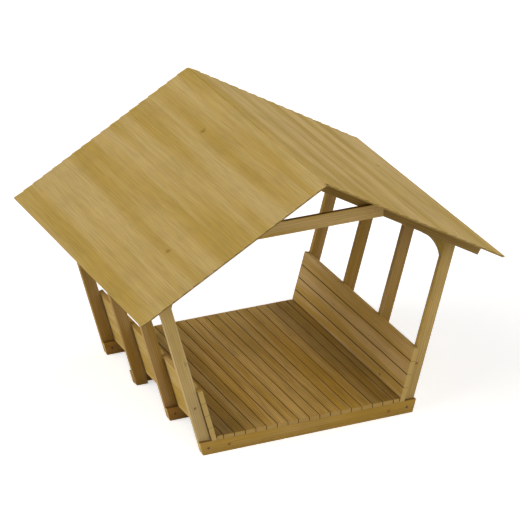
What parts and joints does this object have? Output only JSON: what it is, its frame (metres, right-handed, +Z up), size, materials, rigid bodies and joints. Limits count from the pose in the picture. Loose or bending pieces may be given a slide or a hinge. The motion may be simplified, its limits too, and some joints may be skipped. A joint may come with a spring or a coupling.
{
  "type": "timber picnic shelter",
  "caption": "Open timber picnic shelter with a boarded gable roof on leaning portal frames, a raised board floor and low side walls.",
  "frame": {"origin": "on the ground, midway between the side walls and midway between the front and back frames", "axes": "+Z up, front towards -Y, the ridge runs along Y"},
  "size_m": [4.1204, 3.535, 2.9967],
  "materials": {
    "joist_timber": "planed softwood, oiled",
    "post_timber": "planed softwood, oiled",
    "rafter_timber": "planed softwood, oiled",
    "bracket_timber": "planed softwood, oiled",
    "tie_timber": "planed softwood, oiled",
    "floor_boarding": "planed softwood boards, oiled",
    "wall_boarding": "planed softwood boards, oiled",
    "roof_boarding": "lapped softwood boards, oiled"
  },
  "bodies": {
    "root": {"floor_joist_1": "joist_timber", "floor_joist_2": "joist_timber", "floor_joist_3": "joist_timber", "floor_joist_4": "joist_timber", "left_post_1": "post_timber", "left_post_2": "post_timber", "left_post_3": "post_timber", "left_post_4": "post_timber", "right_post_1": "post_timber", "right_post_2": "post_timber", "right_post_3": "post_timber", "right_post_4": "post_timber", "left_rafter_1": "rafter_timber", "left_rafter_2": "rafter_timber", "left_rafter_3": "rafter_timber", "left_rafter_4": "rafter_timber", "right_rafter_1": "rafter_timber", "right_rafter_2": "rafter_timber", "right_rafter_3": "rafter_timber", "right_rafter_4": "rafter_timber", "left_bracket_1": "bracket_timber", "left_bracket_2": "bracket_timber", "left_bracket_3": "bracket_timber", "left_bracket_4": "bracket_timber", "right_bracket_1": "bracket_timber", "right_bracket_2": "bracket_timber", "right_bracket_3": "bracket_timber", "right_bracket_4": "bracket_timber", "front_tie": "tie_timber", "back_tie": "tie_timber", "floor_boards": "floor_boarding", "left_wall_board_1": "wall_boarding", "left_wall_board_2": "wall_boarding", "left_wall_board_3": "wall_boarding", "left_wall_board_4": "wall_boarding", "right_wall_board_1": "wall_boarding", "right_wall_board_2": "wall_boarding", "right_wall_board_3": "wall_boarding", "right_wall_board_4": "wall_boarding", "left_roof_boards": "roof_boarding", "right_roof_boards": "roof_boarding"}
  },
  "joints": []
}
